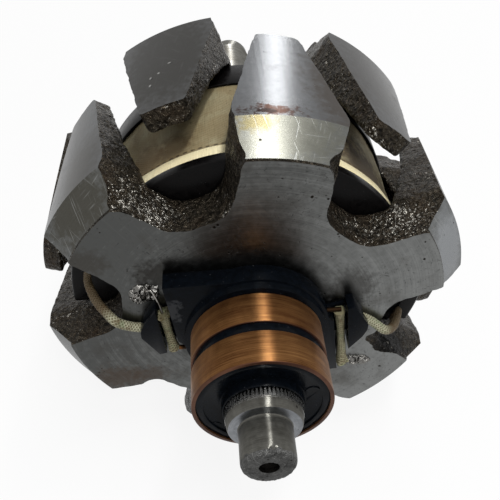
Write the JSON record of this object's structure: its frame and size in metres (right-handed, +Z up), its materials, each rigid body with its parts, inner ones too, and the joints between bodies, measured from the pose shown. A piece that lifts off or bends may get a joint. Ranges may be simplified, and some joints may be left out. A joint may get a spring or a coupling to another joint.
{
  "type": "alternator rotor",
  "caption": "Claw-pole alternator rotor with interlocking steel claw halves round a taped field coil, copper slip rings on a black hub and a stepped steel shaft.",
  "frame": {"origin": "on the shaft axis, at the shoulder of the drive end bearing seat", "axes": "+Y along the shaft towards the drive end, +Z up as the rotor lies on its claws, +X to the right seen from the slip ring end"},
  "size_m": [0.107, 0.1804, 0.107],
  "materials": {
    "shaft_steel": "polished",
    "claw_steel": "satin",
    "core_iron": "rough",
    "bobbin_plastic": "gloss",
    "winding_copper": "enamelled",
    "tape_fabric": "woven",
    "hub_plastic": "satin",
    "ring_copper": "brushed",
    "sleeve_braid": "braided",
    "bare_wire": "bright",
    "terminal_copper": "dull"
  },
  "bodies": {
    "root": {"shaft": "shaft_steel", "front_claw_pole": "claw_steel", "rear_claw_pole": "claw_steel", "field_core": "core_iron", "coil_bobbin": "bobbin_plastic", "field_winding": "winding_copper", "coil_tape": "tape_fabric", "front_tape_hem": "tape_fabric", "slip_ring_hub": "hub_plastic", "front_slip_ring": "ring_copper", "rear_slip_ring": "ring_copper", "left_lead_sleeve": "sleeve_braid", "right_lead_sleeve": "sleeve_braid", "left_tail_sleeve": "sleeve_braid", "right_tail_sleeve": "sleeve_braid", "left_lead_wire": "bare_wire", "right_lead_wire": "bare_wire", "left_ring_terminal": "terminal_copper", "right_ring_terminal": "terminal_copper"}
  },
  "joints": []
}
